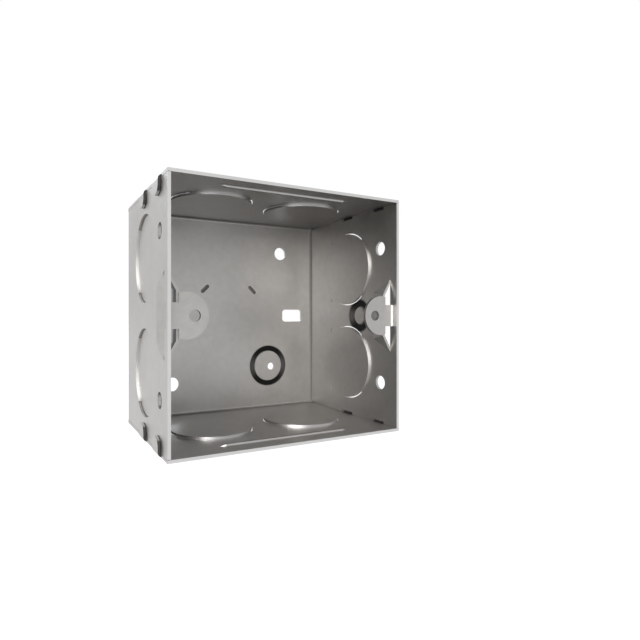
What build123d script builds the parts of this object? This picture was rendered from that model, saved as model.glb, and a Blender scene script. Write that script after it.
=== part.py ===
from build123d import *
import os
from math import cos, radians, sin

# A flush switch box folded from one sheet of galvanised steel.
# The open front faces -Y, the back panel is at +Y, +X is to the right and +Z is up.
# The origin is under the middle of the box, on the face of the bottom wall.

# Outside size of the folded box and its sheet, in millimetres
width = 76.2
height = 75.0
depth = 53.0
sheet = 0.9

# Folds at the back panel, and the notch that frees each back corner
fold_inner_radius = 0.9
corner_relief = 1.2

# Gap along the four seams where a side wall meets the top or bottom wall
seam_gap = 0.1

# Large round knock-outs, half sheared and pressed inward
knockout_diameter = 26.0
knockout_step = 0.75
knockout_slit = 0.35
knockout_tie_angle = 100.0
knockout_depth = 26.4
side_knockout_offset = 17.2
cap_knockout_offset = 16.7

# Corner-lock tabs, bent from the top and bottom walls round the outside of the side walls
tab_starts = (6.3, 23.6)
tab_length = 6.2
tab_drop = 5.0
tab_corner_radius = 2.6
tab_bend_radius = 0.5
tab_clearance = 0.05
tab_notch_depth = 0.8

# Screw lugs, lanced from the side walls and bent inward behind the front rim
# The inset of their holes from the walls sets the plate screws 60.3 apart
lug_screw_inset = 7.05
lug_screw_hole = 3.2
lug_bend_radius = 1.2
lug_neck_width = 6.9
lug_head_radius = 6.3
lug_head_centre = 4.65
lug_head_chord = 2.75

# Louvre pressed inward behind each lug, sheared free along its front edge, which backs the lug
louvre_front = 3.1
louvre_back = 11.5
louvre_rise = 3.1
louvre_base_width = 24.0
louvre_crest_width = 13.2
louvre_heel_width = 15.6

# Round fixing holes near the front edge of the side walls
side_hole_diameter = 4.6
side_hole_depth = 8.0
side_hole_spacing = 45.4

# Fixing holes of the back panel, on one diagonal
back_hole_diameter = 5.0
back_hole_across = 44.8
back_hole_up = 50.4

# Cable slot of the back panel
slot_length = 9.0
slot_width = 4.9
slot_corner_radius = 1.2
slot_offset = 28.0

# Small knock-outs with a wide scored ring: one in the back panel, one in the right wall
score_depth = 0.6
back_ring_outer = 15.9
back_ring_inner = 11.9
back_ring_across = 16.9
back_ring_down = 20.1
pilot_hole_diameter = 2.8
pilot_hole_shift = 1.3
pilot_hole_drop = 0.35
wall_ring_outer = 10.6
wall_ring_inner = 6.0
wall_ring_depth = 19.0

# Straight stiffening bead of the top and bottom walls, with a tapered end each way
bead_length = 43.2
bead_radius = 0.7
bead_taper = 1.6
bead_depth = 6.0

# Short marks struck in the back panel and small punch marks in the side walls
strike_length = 4.0
strike_width = 1.4
strike_depth = 0.5
strike_circle = 28.2
strike_angles = (46.0, 134.0)
punch_radius = 0.7
punch_sink = 0.3
punch_depth = 36.5
punch_heights = (28.0, 6.0)

fold_outer_radius = fold_inner_radius + sheet
inner_width = width - 2 * sheet
inner_height = height - 2 * sheet
lug_screw_across = inner_width / 2 - lug_screw_inset
lug_set_back = louvre_front - sheet


def at_depth(distance):
    """Y of a point that lies a distance behind the front edge."""
    return distance - depth / 2


def folded_channel(span):
    """Back panel with two walls folded forward, as a flat outline open at the front."""
    outer = Rectangle(span, depth)
    outer = fillet(outer.vertices().group_by(Axis.Y)[-1], fold_outer_radius)
    inner = Pos(0, -sheet) * Rectangle(span - 2 * sheet, depth)
    inner = fillet(inner.vertices().group_by(Axis.Y)[-1], fold_inner_radius)
    return outer - inner


def channel_solid(span, breadth, full_breadth):
    """A folded channel whose folds stop short of the back corners of the box."""
    channel = extrude(folded_channel(span), amount=breadth / 2, both=True)
    place = Pos(0, at_depth(depth - corner_relief / 2), 0)
    band = place * Box(span + 2, corner_relief, full_breadth + 2)
    kept = place * Box(span + 2, corner_relief, full_breadth - 2 * corner_relief)
    return channel - (band - kept)


def wall_plane(side, distance, up):
    """Plane on the outer face of a side wall: local x runs forward and local z runs inward."""
    return Plane((side * width / 2, at_depth(distance), up), x_dir=(0, -1, 0), z_dir=(-side, 0, 0))


def cap_plane(side, across, distance):
    """Plane on the outer face of the top or bottom wall: local x forward, local z inward."""
    return Plane((across, at_depth(distance), side * height / 2), x_dir=(0, -1, 0), z_dir=(0, 0, -side))


def back_plane(across, up):
    """Plane on the inner face of the back panel: local x runs to the right and local z forward."""
    return Plane((across, depth / 2 - sheet, up), x_dir=(1, 0, 0), z_dir=(0, -1, 0))


def disc(diameter, low, high):
    """A round solid between two heights of its own axis."""
    return Pos(0, 0, (low + high) / 2) * Cylinder(diameter / 2, high - low)


def press_knockout(body, plane):
    """Shears a disc part way through the sheet, held by a tie in front and one behind."""
    reach = sheet + knockout_step + 1
    body = body - plane * disc(knockout_diameter, -1, knockout_step)
    body = body + plane * disc(knockout_diameter, sheet - (sheet - knockout_step) / 2, sheet + knockout_step)
    ring = Circle(knockout_diameter / 2 + knockout_slit) - Circle(knockout_diameter / 2)
    half_tie = radians(knockout_tie_angle / 2)
    far = knockout_diameter
    tie = Polygon((0, 0), (far * cos(half_tie), far * sin(half_tie)), (far * 2, 0),
                  (far * cos(half_tie), -far * sin(half_tie)), align=None)
    slits = ring - tie - Rot(0, 0, 180) * tie
    return body - plane * Pos(0, 0, -1) * extrude(slits, amount=reach + 1)


def corner_tab(start):
    """One tab of the top right corner, from the edge of the top wall to its rounded end."""
    centre_x = width / 2 + tab_clearance - tab_bend_radius
    centre_z = height / 2 - sheet - tab_bend_radius
    outer_radius = tab_bend_radius + sheet
    bend = Circle(outer_radius) - Circle(tab_bend_radius)
    bend = bend & Pos(outer_radius / 2, outer_radius / 2) * Rectangle(outer_radius, outer_radius)
    bend = Pos(centre_x, centre_z) * bend
    drop = tab_drop - sheet - tab_bend_radius
    leaf = Pos(width / 2 + tab_clearance + sheet / 2, centre_z - drop / 2) * Rectangle(sheet, drop)
    outline = Plane.XZ * (bend + leaf)
    tab = Pos(0, at_depth(start + tab_length / 2), 0) * extrude(outline, amount=tab_length / 2, both=True)
    ends = tab.edges().filter_by(Axis.X).group_by(Axis.Z)[0]
    return fillet(ends, tab_corner_radius)


def tab_notch(start):
    """Clearance in the upper edge of the right wall for the bend of one tab."""
    top = inner_height / 2
    notch = Box(3 * sheet, tab_length, tab_notch_depth + seam_gap)
    middle = at_depth(start + tab_length / 2)
    return Pos(width / 2, middle, top - (tab_notch_depth + seam_gap) / 2) * notch


def louvre_wedge(shift):
    """Faceted bulge of the right wall behind the lug, moved outward by a shift."""
    base_x = inner_width / 2 + shift
    crest_x = base_x - louvre_rise
    front = at_depth(louvre_front)
    heel = at_depth(louvre_back)
    foot = [Vector(base_x, front, end * louvre_base_width / 2) for end in (-1, 1)]
    crest = [Vector(crest_x, front, end * louvre_crest_width / 2) for end in (-1, 1)]
    back = [Vector(base_x, heel, end * louvre_heel_width / 2) for end in (-1, 1)]
    outlines = (
        (foot[0], crest[0], crest[1], foot[1]),
        (crest[0], back[0], back[1], crest[1]),
        (foot[0], back[0], crest[0]),
        (foot[1], crest[1], back[1]),
        (foot[0], foot[1], back[1], back[0]),
    )
    faces = [Face(Wire.make_polygon(outline)) for outline in outlines]
    return Solid(Shell(faces))


def lug_from_wall(offset):
    """X of a point of the right lug that lies an offset inside the right wall."""
    return inner_width / 2 - offset


def right_lug():
    """Neck bent inward from the front rim, with a round head cut off by a chord."""
    bend_y = at_depth(lug_set_back - lug_bend_radius)
    bend_x = lug_from_wall(lug_bend_radius)
    outer_radius = lug_bend_radius + sheet
    bend = Circle(outer_radius) - Circle(lug_bend_radius)
    bend = bend & Pos(outer_radius / 2, outer_radius / 2) * Rectangle(outer_radius, outer_radius)
    neck_reach = lug_head_chord + 1.0 - lug_bend_radius
    neck_y = at_depth(lug_set_back + sheet / 2)
    straight = Pos(bend_x - neck_reach / 2, neck_y) * Rectangle(neck_reach, sheet)
    neck = extrude(Pos(bend_x, bend_y) * bend + straight, amount=lug_neck_width / 2, both=True)
    head_x = lug_from_wall(lug_head_centre)
    chord_x = lug_from_wall(lug_head_chord)
    keep = Pos(chord_x - lug_head_radius, 0) * Rectangle(2 * lug_head_radius, 3 * lug_head_radius)
    outline = Pos(head_x, 0) * Circle(lug_head_radius) & keep
    outline = outline - Pos(lug_screw_across, 0) * Circle(lug_screw_hole / 2)
    face = Plane((0, at_depth(lug_set_back), 0), x_dir=(1, 0, 0), z_dir=(0, -1, 0))
    head = extrude(face * outline, amount=-sheet)
    hole = face * Pos(lug_screw_across, 0, -sheet / 2) * Cylinder(lug_screw_hole / 2, 3 * sheet)
    return neck + head - hole


def lug_gap():
    """Part of the right rim that the neck of the lug is bent out of."""
    front = lug_set_back - lug_bend_radius
    length = louvre_front - front
    return Pos(width / 2, at_depth(front + length / 2), 0) * Box(2 * sheet, length, lug_neck_width)


def stiffening_bead(side, inward):
    """Half-round bead of a top or bottom wall, moved inward from the outer face."""
    rod = Rot(0, 90, 0) * Cylinder(bead_radius, bead_length - 2 * bead_taper)
    tip = Pos(bead_length / 2 - bead_taper / 2, 0, 0) * Rot(0, 90, 0) * Cone(bead_radius, 0, bead_taper)
    rod = rod + tip + mirror(tip, about=Plane.YZ)
    return Pos(0, at_depth(bead_depth), side * (height / 2 - inward)) * rod


def side_wall_features():
    """Solids that are added to and cut from the right wall, apart from its knock-outs."""
    added = [right_lug(), louvre_wedge(0)]
    cut = [lug_gap(), louvre_wedge(sheet)]
    for start in tab_starts:
        added += [corner_tab(start), mirror(corner_tab(start), about=Plane.XY)]
        cut += [tab_notch(start), mirror(tab_notch(start), about=Plane.XY)]
    for end in (-1, 1):
        hole_plane = wall_plane(1, side_hole_depth, end * side_hole_spacing / 2)
        cut.append(hole_plane * disc(side_hole_diameter, -1, sheet + 1))
        for up in punch_heights:
            punch = disc(2 * punch_radius, sheet - punch_sink, sheet + 1)
            cut.append(wall_plane(1, punch_depth, end * up) * punch)
    return added, cut


def score_ring(body, plane, outer, inner):
    """Cuts a wide ring part way into the inner face of a wall, around a disc left level with it."""
    return body - plane * (disc(outer, -score_depth, 1) - disc(inner, -score_depth, 1))


def pierce_back(body):
    """Holes, slot, ring-scored knock-out and struck marks of the back panel."""
    for end in (-1, 1):
        plane = back_plane(end * back_hole_across / 2, end * back_hole_up / 2)
        body = body - plane * disc(back_hole_diameter, -2 * sheet, 1)
    slot = RectangleRounded(slot_length, slot_width, slot_corner_radius)
    body = body - extrude(back_plane(slot_offset, 0) * slot, amount=2 * sheet, both=True)
    ring_plane = back_plane(back_ring_across, -back_ring_down)
    body = score_ring(body, ring_plane, back_ring_outer, back_ring_inner)
    pilot_place = Pos(pilot_hole_shift, -pilot_hole_drop)
    body = body - ring_plane * pilot_place * disc(pilot_hole_diameter, -2 * sheet, 1)
    for angle in strike_angles:
        mark = Pos(strike_circle / 2, 0) * SlotOverall(strike_length, strike_width, rotation=90)
        mark = back_plane(0, 0) * Rot(0, 0, angle) * mark
        body = body - extrude(mark, amount=-strike_depth)
    return body


def make_box():
    """The whole folded box, centred on its mid height."""
    side_height = inner_height - 2 * seam_gap
    sides = channel_solid(width, side_height, height)
    caps = Rot(0, 90, 0) * channel_solid(height, width, width)
    body = sides + caps
    added, cut = side_wall_features()
    for solid in cut:
        body = body - solid - mirror(solid, about=Plane.YZ)
    for solid in added:
        body = body + solid + mirror(solid, about=Plane.YZ)
    body = body - louvre_wedge(sheet) - mirror(louvre_wedge(sheet), about=Plane.YZ)
    for side in (-1, 1):
        for end in (-1, 1):
            body = press_knockout(body, wall_plane(side, knockout_depth, end * side_knockout_offset))
            body = press_knockout(body, cap_plane(side, end * cap_knockout_offset, knockout_depth))
        body = body + stiffening_bead(side, sheet) - stiffening_bead(side, 0)
    ring_plane = Plane((inner_width / 2, at_depth(wall_ring_depth), 0), x_dir=(0, -1, 0), z_dir=(-1, 0, 0))
    body = score_ring(body, ring_plane, wall_ring_outer, wall_ring_inner)
    return pierce_back(body)


os.makedirs("parts", exist_ok=True)
box = Pos(0, 0, height / 2) * make_box()
export_step(box, "parts/switch_box_body.step")
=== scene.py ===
"""Modular switch box: the sheet's zinc finish, a plain white studio and the photograph's camera."""

from math import cos, pi, radians, sin

import bmesh
import bpy
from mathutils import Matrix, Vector


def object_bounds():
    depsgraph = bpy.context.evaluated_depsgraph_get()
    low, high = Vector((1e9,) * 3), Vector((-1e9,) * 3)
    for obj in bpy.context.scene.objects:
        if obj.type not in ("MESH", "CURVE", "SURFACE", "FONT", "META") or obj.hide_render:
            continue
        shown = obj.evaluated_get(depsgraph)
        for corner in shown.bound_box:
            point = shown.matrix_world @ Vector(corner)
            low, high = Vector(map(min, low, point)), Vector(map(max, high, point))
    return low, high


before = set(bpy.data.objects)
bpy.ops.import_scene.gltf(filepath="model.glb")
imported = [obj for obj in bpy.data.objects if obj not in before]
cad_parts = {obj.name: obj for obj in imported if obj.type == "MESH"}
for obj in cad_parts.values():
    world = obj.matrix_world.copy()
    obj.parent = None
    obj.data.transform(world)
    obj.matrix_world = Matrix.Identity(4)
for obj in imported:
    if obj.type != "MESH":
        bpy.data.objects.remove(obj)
cad_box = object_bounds()

MM = 0.001

# The box, from the frame: the tabs stand out from its side walls
low_corner, high_corner = cad_box
TAB_STANDOUT = 0.95 * MM
SHEET = 0.9 * MM
HEIGHT = high_corner[2] - low_corner[2]
FRONT = low_corner[1]
MID_HEIGHT = HEIGHT / 2
BACK_FACE = high_corner[1]
WALL_FACE = high_corner[0] - TAB_STANDOUT

# Ring-scored knock-outs: middle and radii of the groove, and the width of the soft edge of the painted
# shade in it
BACK_RING = {"middle": (16.9 * MM, MID_HEIGHT - 20.1 * MM),
             "inner": 5.95 * MM, "outer": 7.95 * MM, "shade_blur": 0.3 * MM}
WALL_RING = {"middle": (FRONT + 19.4 * MM, MID_HEIGHT),
             "inner": 3.1 * MM, "outer": 5.8 * MM, "shade_blur": 0.8 * MM}

# Struck marks: their reach from the middle of the back panel
STRIKES = {"near": 13.2 * MM, "far": 15 * MM}

# Large pressed knock-outs: middle of a disc along the depth, up a side wall and across a top or bottom
# cap, and how far from it along the depth the painted highlight on its bare edge is still faint and is
# full
KNOCKOUT = {"along": FRONT + 26.4 * MM, "up": 17.2 * MM, "across": 16.7 * MM, "radius": 13 * MM,
            "faint": 7 * MM, "full": 10 * MM}

# Corner-lock tabs, from the front rim, and how far the painted shade in their notches reaches from the
# outside of the caps
TABS = {"starts": (6.3 * MM, 23.6 * MM), "length": 6.2 * MM, "notch": 1.7 * MM}

# Louvres behind the lugs, and the beads of the caps, from the front rim
LOUVRE = {"front": 3.1 * MM, "back": 11.5 * MM, "half": 12 * MM, "rise": 3.1 * MM}
BEAD = {"depth": 6 * MM, "radius": 0.7 * MM, "half": 21.6 * MM}

# How dark the painted shade is in each place, where 1 is the full shade colour
DARKNESS = {"ring sides": 0.8, "tab ends": 0.92, "struck marks": 0.55, "notches": 0.93,
            "louvre mouth": 0.7, "louvre flanks": 0.35, "bead lines": 0.3}

# Colours of the sheet: its mottling, the painted shade on its folds, its bare edges with a painted
# highlight, and the painted shade in its recesses
PALE_ZINC = (0.442, 0.434, 0.425, 1)
DEEP_ZINC = (0.378, 0.369, 0.358, 1)
SHADED_FOLD_ZINC = (0.12, 0.118, 0.115, 1)
BARE_HIGHLIT_ZINC = (0.64, 0.64, 0.64, 1)
PAINTED_SHADE = (0.012, 0.011, 0.011, 1)
# Share of painted shade on the inner folds
FOLD_SHADE_SHARE = 0.3
# Shares of painted highlight on the bare front rim and on the faint parts of the knock-out edges
RIM_HIGHLIGHT = 0.75
SLIT_HIGHLIGHT = 0.1

# Gloss of the sheet: roughness of plain zinc, and what mottling, the painted shade and the shaded folds
# add to it
ROUGHNESS = 0.34
MOTTLE_ROUGHNESS = 0.12
PAINTED_SHADE_ROUGHNESS = 0.3
FOLD_ROUGHNESS = 0.35
PAINTED_SHADE_METALLIC = 0.1
SPECULAR = 0.12

# Noises of the sheet: scale, detail and roughness of each, and how far the rolling lines are stretched
CLOUDS = (45.0, 3.0, 0.55)
FLECKS = (420.0, 3.0, 0.6)
GRAIN = (2600.0, 2.0, 0.6)
ROLLING = (1.0, 3.0, 0.6)
ROLLING_STRETCH = (90.0, 90.0, 2400.0)

# Shares of the noises in the mottling, where it turns from deep to pale, and the relief of the surface
MOTTLE_SHARES = (0.6, 0.4)
MOTTLE_RANGE = (0.3, 0.7)
RELIEF_SHARES = (0.5, 0.6)
RELIEF_STRENGTH = 0.10
RELIEF_DEPTH = 0.03 * MM

# How far a surface leans or turns to a side, as its share of the normal: from not at all to fully
LEANS = (0.05, 0.3)
TILTS = (0.2, 0.4)
TURNS = (0.5, 0.75)

# Camera: where it stands against the box's outer front left edge, and how it frames it
CAMERA_LEFT_OF_BOX = 31.405 * MM
CAMERA_BEFORE_BOX = 117.29 * MM
CAMERA_YAW = radians(26.864)
IMAGE_SIZE = 640
FOCAL_PIXELS = 471.2
CENTRE_PIXEL = (266.6, 315.6)
SENSOR = 36.0
CLIP = (0.005, 20)

# Soft lamps round the box: azimuth, elevation, power and tint
LAMP_DISTANCE = 1.0
LAMP_SIZE = 0.6
WARM = (1.0, 0.97, 0.94)
COOL = (0.86, 0.94, 1.0)
LAMPS = {"key": (-45, 14, 7.6, WARM), "high": (-45, 50, 5.0, WARM),
         "side": (-80, 35, 2.2, COOL), "back": (180, 35, 3.6, COOL)}

# Studio: level of its walls on matt surfaces, and the floor
WHITE = (1, 1, 1, 1)
WALL_LEVEL = 0.4
FLOOR_COLOUR = (0.86, 0.86, 0.86, 1)
FLOOR_ROUGHNESS = 0.9
FLOOR_SPECULAR = 0.1
FLOOR_REACH = 30.0
FLOOR_GLOW = 1.13
FLOOR_GLOW_SHARE = 0.85


class Nodes:
    """Small helper that adds nodes to one tree and links them in a row."""

    def __init__(self, tree):
        self.tree = tree
        tree.nodes.clear()

    def add(self, kind, **settings):
        node = self.tree.nodes.new(kind)
        for name, value in settings.items():
            setattr(node, name, value)
        return node

    def link(self, source, target):
        self.tree.links.new(source, target)

    def feed(self, socket, value):
        """Links a socket, or sets its plain value."""
        if isinstance(value, bpy.types.NodeSocket):
            self.link(value, socket)
        else:
            socket.default_value = value

    def math(self, operation, *values):
        node = self.add("ShaderNodeMath", operation=operation)
        for index, value in enumerate(values):
            self.feed(node.inputs[index], value)
        return node.outputs[0]

    def join(self, operation, first, *others):
        """Joins any number of values by one operation, from left to right."""
        for value in others:
            first = self.math(operation, first, value)
        return first

    def product(self, *values):
        return self.join("MULTIPLY", *values)

    def total(self, *values):
        return self.join("ADD", *values)

    def largest(self, *values):
        return self.join("MAXIMUM", *values)

    def less(self, first, second):
        """The first value less the second."""
        return self.math("SUBTRACT", first, second)

    def size(self, value):
        """A value without its sign."""
        return self.math("ABSOLUTE", value)

    def distance(self, first, second):
        """Distance of a point from the middle, from its two offsets."""
        return self.math("SQRT", self.total(self.product(first, first), self.product(second, second)))

    def split(self, vector):
        node = self.add("ShaderNodeSeparateXYZ")
        self.link(vector, node.inputs[0])
        return node.outputs

    def ramp(self, value, low, high, start=0.0, end=1.0):
        """A value mapped smoothly from low..high to start..end."""
        node = self.add("ShaderNodeMapRange", interpolation_type="SMOOTHSTEP")
        self.feed(node.inputs["Value"], value)
        self.feed(node.inputs["From Min"], low)
        self.feed(node.inputs["From Max"], high)
        self.feed(node.inputs["To Min"], start)
        self.feed(node.inputs["To Max"], end)
        return node.outputs["Result"]

    def fall(self, value, low, high):
        """1 below a range of values and 0 above it."""
        return self.ramp(value, low, high, 1.0, 0.0)

    def between(self, value, low, high, soft):
        """1 where a value lies between two limits, with soft edges."""
        rise = self.ramp(value, low - soft, low + soft)
        return self.product(rise, self.fall(value, high - soft, high + soft))

    def mix(self, factor, first, second):
        node = self.add("ShaderNodeMix", data_type="RGBA")
        self.feed(node.inputs[0], factor)
        self.feed(node.inputs[6], first)
        self.feed(node.inputs[7], second)
        return node.outputs[2]

    def noise(self, vector, scale, detail, roughness):
        node = self.add("ShaderNodeTexNoise")
        self.link(vector, node.inputs["Vector"])
        node.inputs["Scale"].default_value = scale
        node.inputs["Detail"].default_value = detail
        node.inputs["Roughness"].default_value = roughness
        return node.outputs["Fac"]


class Sheet:
    """Where a point of the folded sheet lies and which way it faces, for the masks of its finish."""

    def __init__(self, nodes):
        self.nodes = nodes
        self.place = nodes.add("ShaderNodeTexCoord").outputs["Object"]
        self.x, self.y, self.z = nodes.split(self.place)
        normal = nodes.add("ShaderNodeNewGeometry").outputs["Normal"]
        self.normal_x, self.normal_y, self.normal_z = nodes.split(normal)
        self.outward = nodes.size(self.x)
        self.depth_in = nodes.less(self.y, FRONT)
        self.off_middle = nodes.size(nodes.less(self.z, MID_HEIGHT))


def new_material(name):
    """An empty node material, its helper and the socket that takes its surface."""
    material = bpy.data.materials.new(name)
    material.use_nodes = True
    nodes = Nodes(material.node_tree)
    return material, nodes, nodes.add("ShaderNodeOutputMaterial").inputs["Surface"]


def ring_shade(nodes, first, second, ring):
    """Painted shade in a scored ring, soft at its edges and darkest at its top and bottom."""
    up = nodes.less(second, ring["middle"][1])
    radius = nodes.distance(nodes.less(first, ring["middle"][0]), up)
    upright = nodes.math("DIVIDE", nodes.size(up), radius)
    shade_blur = ring["shade_blur"]
    rise = nodes.ramp(radius, ring["inner"] - shade_blur / 2, ring["inner"] + shade_blur / 2)
    fall = nodes.fall(radius, ring["outer"] - shade_blur / 2, ring["outer"] + shade_blur)
    side_to_top = (0.1, 0.8)
    return nodes.product(rise, fall, nodes.ramp(upright, *side_to_top, DARKNESS["ring sides"], 1.0))


def ring_shades(sheet):
    """Painted shade of both scored rings, on the inside of the back panel and of the right wall and in
    their grooves.
    """
    nodes = sheet.nodes
    skin = 0.1 * MM
    soft = 0.03 * MM
    in_back = nodes.between(sheet.y, BACK_FACE - SHEET - skin, BACK_FACE - skin, soft)
    in_wall = nodes.between(sheet.x, WALL_FACE - SHEET - skin, WALL_FACE - skin, soft)
    back = nodes.product(ring_shade(nodes, sheet.x, sheet.z, BACK_RING), in_back)
    wall = nodes.product(ring_shade(nodes, sheet.y, sheet.z, WALL_RING), in_wall)
    return nodes.largest(back, wall)


def tab_seam_shade(sheet):
    """Painted shade on the cut ends of the tabs, and along the seam between each tab and the side wall."""
    nodes = sheet.nodes
    outside = nodes.ramp(sheet.outward, WALL_FACE + 0.05 * MM, WALL_FACE + 0.12 * MM)
    cut_end = nodes.ramp(nodes.size(sheet.normal_y), *TURNS)
    seam = nodes.between(sheet.outward, WALL_FACE + 0.03 * MM, WALL_FACE + 0.2 * MM, 0.01 * MM)
    return nodes.largest(nodes.product(outside, cut_end, DARKNESS["tab ends"]), seam)


def struck_mark_shade(sheet):
    """Painted shade on the flanks and floor of the two marks that are struck into the back panel."""
    nodes = sheet.nodes
    reach = nodes.distance(sheet.x, sheet.off_middle)
    marked = nodes.between(reach, STRIKES["near"], STRIKES["far"], 0.05 * MM)
    sunk = nodes.between(sheet.y, BACK_FACE - SHEET + 0.06 * MM, BACK_FACE - 0.1 * MM, 0.04 * MM)
    return nodes.product(marked, sunk, DARKNESS["struck marks"])


def tab_notch_shade(sheet):
    """Painted shade in the notches of the side walls in which the tabs are bent."""
    nodes = sheet.nodes
    notch_end = HEIGHT / 2 - TABS["notch"]
    near_cap = nodes.ramp(sheet.off_middle, notch_end - 0.4 * MM, notch_end + 0.2 * MM)
    in_wall = nodes.between(sheet.outward, WALL_FACE - SHEET - 0.06 * MM, WALL_FACE + 0.2 * MM, 0.03 * MM)
    spans = [nodes.between(sheet.y, FRONT + start, FRONT + start + TABS["length"], 0.6 * MM)
             for start in TABS["starts"]]
    return nodes.product(near_cap, in_wall, nodes.largest(*spans), DARKNESS["notches"])


def louvre_shade(sheet):
    """Painted shade in the open mouth of each louvre, and on its slanting flanks above and below."""
    nodes = sheet.nodes
    along = nodes.between(sheet.depth_in, LOUVRE["front"], LOUVRE["back"], 0.02 * MM)
    beside = nodes.fall(sheet.off_middle, LOUVRE["half"], LOUVRE["half"] + 0.2 * MM)
    off_wall = nodes.between(sheet.outward, WALL_FACE - LOUVRE["rise"] - SHEET, WALL_FACE - 0.06 * MM,
                             0.03 * MM)
    faces_out = nodes.product(nodes.math("SIGN", sheet.x), sheet.normal_x)
    near_mouth = nodes.fall(sheet.depth_in, LOUVRE["front"] + 0.8 * MM, LOUVRE["front"] + 2.4 * MM)
    mouth = nodes.product(nodes.ramp(faces_out, *LEANS), near_mouth, DARKNESS["louvre mouth"])
    faces_in = nodes.fall(faces_out, -LEANS[1], -LEANS[0])
    slants = nodes.ramp(nodes.size(sheet.normal_z), *TILTS)
    flanks = nodes.product(faces_in, slants, DARKNESS["louvre flanks"])
    return nodes.product(along, beside, off_wall, nodes.largest(mouth, flanks))


def bead_shadow_lines(sheet):
    """A thin painted shadow line in front of each bead and behind it."""
    nodes = sheet.nodes
    from_bead = nodes.size(nodes.less(sheet.depth_in, BEAD["depth"]))
    beside = nodes.between(from_bead, BEAD["radius"] * 0.8, BEAD["radius"] * 1.9, 0.25 * MM)
    along = nodes.fall(sheet.outward, BEAD["half"] - 1.5 * MM, BEAD["half"] + 0.5 * MM)
    cap_inside = HEIGHT / 2 - SHEET
    on_cap = nodes.ramp(sheet.off_middle, cap_inside - 0.25 * MM, cap_inside - 0.1 * MM)
    return nodes.product(beside, along, on_cap, DARKNESS["bead lines"])


def inner_fold_shade(sheet):
    """Painted shade on the rounded inner folds at the back panel, which dulls their highlight."""
    nodes = sheet.nodes
    least, most, soft = 0.12, 0.95, 0.05
    slants = nodes.between(nodes.size(sheet.normal_y), least, most, soft)
    panel = BACK_FACE - SHEET
    return nodes.product(slants, nodes.between(sheet.y, panel - 1.1 * MM, panel + 0.02 * MM, 0.05 * MM))


def sheared_edge_highlight(sheet):
    """Painted highlight on the bare edges of the pressed knock-outs, full at their front and back and
    faint above and below.
    """
    nodes = sheet.nodes
    along = nodes.less(sheet.y, KNOCKOUT["along"])
    in_walls = nodes.ramp(sheet.outward, WALL_FACE - 3 * SHEET, WALL_FACE - 2.5 * SHEET)
    wall_side = nodes.less(sheet.off_middle, KNOCKOUT["up"])
    cap_side = nodes.less(sheet.outward, KNOCKOUT["across"])
    gap = 0.15 * MM
    edges = []
    for aside, facing, chosen in ((wall_side, sheet.normal_x, in_walls),
                                  (cap_side, sheet.normal_z, nodes.less(1.0, in_walls))):
        radius = nodes.distance(along, aside)
        edge = nodes.between(radius, KNOCKOUT["radius"] - gap, KNOCKOUT["radius"] + gap, 0.02 * MM)
        edges.append(nodes.product(edge, nodes.fall(nodes.size(facing), *TILTS), chosen))
    share = nodes.ramp(nodes.size(along), KNOCKOUT["faint"], KNOCKOUT["full"], SLIT_HIGHLIGHT, 1.0)
    return nodes.product(nodes.largest(*edges), share)


def shade_in_recesses(sheet):
    """How dark the painted shade is at each point: 1 in a scored ring or a tab's seam, and 0 where there
    is none.
    """
    masks = (ring_shades, tab_seam_shade, struck_mark_shade, tab_notch_shade, louvre_shade, bead_shadow_lines)
    return sheet.nodes.largest(*[mask(sheet) for mask in masks])


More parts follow.
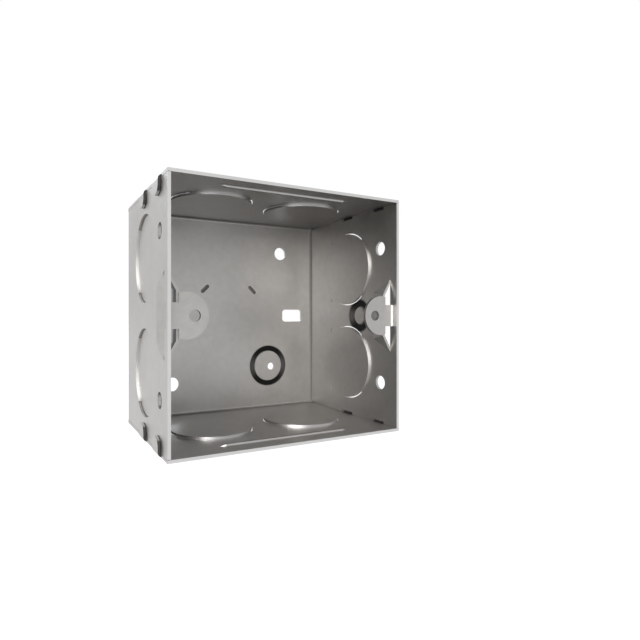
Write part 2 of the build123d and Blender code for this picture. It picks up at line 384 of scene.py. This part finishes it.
def galvanised_steel():
    """Zinc-coated sheet with a soft gloss: mottled, faintly lined, bare at its edges with a painted
    highlight there, and with painted shade in its folds and recesses.
    """
    material, nodes, surface = new_material("galvanised_sheet")
    shader = nodes.add("ShaderNodeBsdfPrincipled")
    nodes.link(shader.outputs[0], surface)
    sheet = Sheet(nodes)

    clouds = nodes.product(nodes.noise(sheet.place, *CLOUDS), MOTTLE_SHARES[0])
    flecks = nodes.product(nodes.noise(sheet.place, *FLECKS), MOTTLE_SHARES[1])
    mottle = nodes.total(clouds, flecks)
    fold = inner_fold_shade(sheet)
    # Painted highlight on the bare front rim
    rim = nodes.ramp(sheet.depth_in, 0.02 * MM, 0.06 * MM, RIM_HIGHLIGHT, 0.0)
    dark = shade_in_recesses(sheet)

    zinc = nodes.mix(nodes.ramp(mottle, *MOTTLE_RANGE), DEEP_ZINC, PALE_ZINC)
    # Painted shade on the inner folds, dulling their highlight
    zinc = nodes.mix(nodes.product(fold, FOLD_SHADE_SHARE), zinc, SHADED_FOLD_ZINC)
    # Bare edges of the rim and the knock-outs, painted paler as a highlight
    zinc = nodes.mix(nodes.largest(sheared_edge_highlight(sheet), rim), zinc, BARE_HIGHLIT_ZINC)
    # Painted shade over the zinc in the rings, seams, struck marks, notches, louvres and beside the beads
    nodes.link(nodes.mix(dark, zinc, PAINTED_SHADE), shader.inputs["Base Color"])

    rough = nodes.total(nodes.product(mottle, MOTTLE_ROUGHNESS), ROUGHNESS)
    shade_roughness = nodes.total(nodes.product(dark, PAINTED_SHADE_ROUGHNESS), nodes.product(fold, FOLD_ROUGHNESS))
    nodes.link(nodes.total(rough, shade_roughness), shader.inputs["Roughness"])
    nodes.link(nodes.ramp(dark, 0.0, 1.0, 1.0, PAINTED_SHADE_METALLIC), shader.inputs["Metallic"])
    shader.inputs["Specular IOR Level"].default_value = SPECULAR

    grain = nodes.product(nodes.noise(sheet.place, *GRAIN), RELIEF_SHARES[0])
    stretch = nodes.add("ShaderNodeMapping")
    nodes.link(sheet.place, stretch.inputs["Vector"])
    stretch.inputs["Scale"].default_value = ROLLING_STRETCH
    rolling = nodes.product(nodes.noise(stretch.outputs[0], *ROLLING), RELIEF_SHARES[1])
    bump = nodes.add("ShaderNodeBump")
    bump.inputs["Strength"].default_value = RELIEF_STRENGTH
    bump.inputs["Distance"].default_value = RELIEF_DEPTH
    nodes.link(nodes.total(grain, rolling), bump.inputs["Height"])
    nodes.link(bump.outputs[0], shader.inputs["Normal"])
    return material


def sees_background(nodes):
    """1 for the rays that show the white background: the camera's and what metal or glass shows."""
    rays = nodes.add("ShaderNodeLightPath").outputs
    return nodes.largest(rays["Is Camera Ray"], rays["Is Glossy Ray"], rays["Is Transmission Ray"])


def pale_floor():
    """White floor that keeps a soft shadow and shows white to the camera and in reflections."""
    material, nodes, surface = new_material("studio_white")
    shader = nodes.add("ShaderNodeBsdfPrincipled")
    shader.inputs["Base Color"].default_value = FLOOR_COLOUR
    shader.inputs["Roughness"].default_value = FLOOR_ROUGHNESS
    shader.inputs["Specular IOR Level"].default_value = FLOOR_SPECULAR
    glow = nodes.add("ShaderNodeEmission")
    glow.inputs["Color"].default_value = WHITE
    glow.inputs["Strength"].default_value = FLOOR_GLOW
    blend = nodes.add("ShaderNodeMixShader")
    nodes.link(nodes.product(sees_background(nodes), FLOOR_GLOW_SHARE), blend.inputs[0])
    nodes.link(shader.outputs[0], blend.inputs[1])
    nodes.link(glow.outputs[0], blend.inputs[2])
    nodes.link(blend.outputs[0], surface)
    return material


def dress_box():
    """Gives the folded box its zinc finish."""
    finish = galvanised_steel()
    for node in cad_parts.values():
        for slot in node.material_slots:
            slot.material = finish


def studio_floor():
    """A wide flat floor, level with the underside of the box."""
    mesh = bmesh.new()
    corners = ((-1, -1), (1, -1), (1, 1), (-1, 1))
    mesh.faces.new([mesh.verts.new((x * FLOOR_REACH, y * FLOOR_REACH, 0)) for x, y in corners])
    data = bpy.data.meshes.new("studio_floor")
    mesh.to_mesh(data)
    mesh.free()
    floor = bpy.data.objects.new("studio_floor", data)
    bpy.context.collection.objects.link(floor)
    data.materials.append(pale_floor())


def studio_world():
    """White to the camera and in reflections, and a plain grey for matt surfaces."""
    world = bpy.data.worlds.new("studio")
    bpy.context.scene.world = world
    world.use_nodes = True
    nodes = Nodes(world.node_tree)
    output = nodes.add("ShaderNodeOutputWorld")
    walls = nodes.add("ShaderNodeBackground")
    walls.inputs["Color"].default_value = WHITE
    level = nodes.ramp(sees_background(nodes), 0.0, 1.0, WALL_LEVEL, 1.0)
    nodes.link(level, walls.inputs["Strength"])
    nodes.link(walls.outputs[0], output.inputs["Surface"])


def toward(azimuth, elevation):
    """Unit vector to a place in the studio. Azimuth 0 is in front of the box and 90 to its right."""
    turn, lift = radians(azimuth), radians(elevation)
    return Vector((sin(turn) * cos(lift), -cos(turn) * cos(lift), sin(lift)))


def softbox(name, azimuth, elevation, power, tint):
    """A square soft lamp, aimed at the middle of the box."""
    data = bpy.data.lights.new(name, "AREA")
    data.size = LAMP_SIZE
    data.energy = power
    data.color = tint
    lamp = bpy.data.objects.new(name, data)
    bpy.context.collection.objects.link(lamp)
    way = toward(azimuth, elevation)
    lamp.location = Vector((0, 0, MID_HEIGHT)) + way * LAMP_DISTANCE
    lamp.rotation_euler = (-way).to_track_quat("-Z", "Y").to_euler()


def camera():
    """The level camera of the photograph, left of the box and close to it."""
    data = bpy.data.cameras.new("photo_view")
    data.sensor_width = SENSOR
    data.sensor_fit = "HORIZONTAL"
    data.lens = FOCAL_PIXELS / IMAGE_SIZE * SENSOR
    data.shift_x = (IMAGE_SIZE / 2 - CENTRE_PIXEL[0]) / IMAGE_SIZE
    data.shift_y = (CENTRE_PIXEL[1] - IMAGE_SIZE / 2) / IMAGE_SIZE
    data.clip_start, data.clip_end = CLIP
    view = bpy.data.objects.new("photo_view", data)
    bpy.context.collection.objects.link(view)
    view.location = (-WALL_FACE - CAMERA_LEFT_OF_BOX, FRONT - CAMERA_BEFORE_BOX, MID_HEIGHT)
    view.rotation_euler = (pi / 2, 0, -CAMERA_YAW)
    bpy.context.scene.camera = view


dress_box()
studio_floor()
studio_world()
for lamp_name, settings in LAMPS.items():
    softbox(lamp_name, *settings)
camera()
bpy.context.scene.view_settings.view_transform = "Standard"
